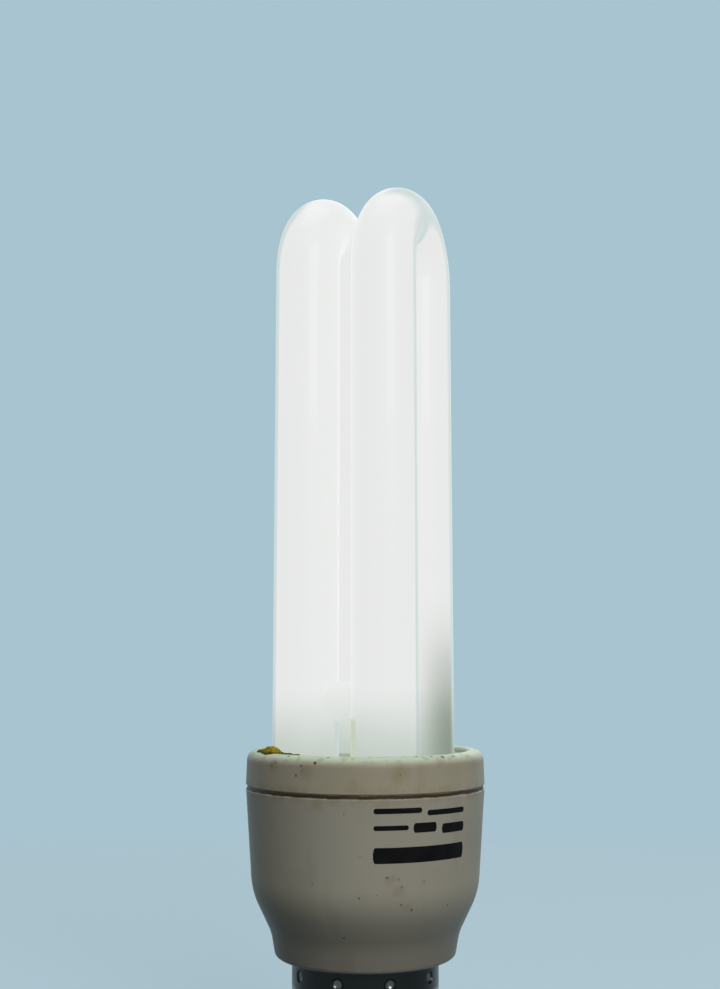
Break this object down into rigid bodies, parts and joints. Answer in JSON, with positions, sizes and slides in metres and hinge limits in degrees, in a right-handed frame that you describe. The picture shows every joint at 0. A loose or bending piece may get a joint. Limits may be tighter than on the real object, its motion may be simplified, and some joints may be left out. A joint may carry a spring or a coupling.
{
  "type": "compact fluorescent lamp",
  "caption": "Self-ballasted fluorescent lamp: two U shaped glass tubes on a round plastic case with a 27 mm screw cap.",
  "frame": {"origin": "tip of the centre contact, on the lamp's axis", "axes": "+Z along the lamp's axis from the cap to the tubes; the legs of each U lie one behind the other along Y; the two Us stand side by side along X, with the bridge on the -Y side"},
  "size_m": [0.0436, 0.0436, 0.168],
  "materials": {
    "phosphor_glass": "white coated glass, lit",
    "aged_plastic": "ivory moulded plastic, aged",
    "plated_cap": "nickel plated sheet",
    "insulator_glass": "black glass, opaque",
    "contact_plate": "brass plate",
    "solder": "dull solder",
    "dried_adhesive": "yellow-brown adhesive, dried",
    "board": "paper laminate",
    "ferrite": "sintered ferrite",
    "dark_plastic": "moulded, matt",
    "enamelled_wire": "enamelled copper",
    "capacitor_sleeve": "shrunk sleeve",
    "dipped_film": "dipped resin",
    "diode_glass": "small glass body",
    "resistor_coat": "lacquer",
    "wire_sleeve": "insulated wire",
    "cement": "cement",
    "tinned_wire": "tinned wire",
    "print_ink": "printed bars, matt"
  },
  "bodies": {
    "root": {"discharge_tube": "phosphor_glass", "top_cover": "aged_plastic", "ballast_case": "aged_plastic", "cap_shell": "plated_cap", "cap_insulator": "insulator_glass", "centre_contact": "contact_plate", "contact_solder": "solder", "dried_adhesive": "dried_adhesive", "circuit_board": "board", "choke_core_upper": "ferrite", "choke_core_lower": "ferrite", "choke_bobbin": "dark_plastic", "choke_winding": "enamelled_wire", "smoothing_capacitor": "capacitor_sleeve", "resonance_capacitor": "dipped_film", "coupling_capacitor": "dipped_film", "feedback_ring": "ferrite", "feedback_windings": "enamelled_wire", "switching_transistor_1": "dark_plastic", "switching_transistor_2": "dark_plastic", "rectifier_diode_1": "dark_plastic", "rectifier_diode_2": "dark_plastic", "rectifier_diode_3": "dark_plastic", "rectifier_diode_4": "dark_plastic", "trigger_diode": "diode_glass", "fuse_resistor": "resistor_coat", "base_resistor_1": "resistor_coat", "base_resistor_2": "resistor_coat", "centre_lead": "wire_sleeve", "shell_lead": "wire_sleeve", "leg_cement_1": "cement", "lead_post_1": "tinned_wire", "filament_lead_1": "tinned_wire", "leg_cement_2": "cement", "lead_post_2": "tinned_wire", "filament_lead_2": "tinned_wire", "leg_cement_3": "cement", "lead_post_3": "tinned_wire", "filament_lead_3": "tinned_wire", "leg_cement_4": "cement", "lead_post_4": "tinned_wire", "filament_lead_4": "tinned_wire"}
  },
  "joints": []
}
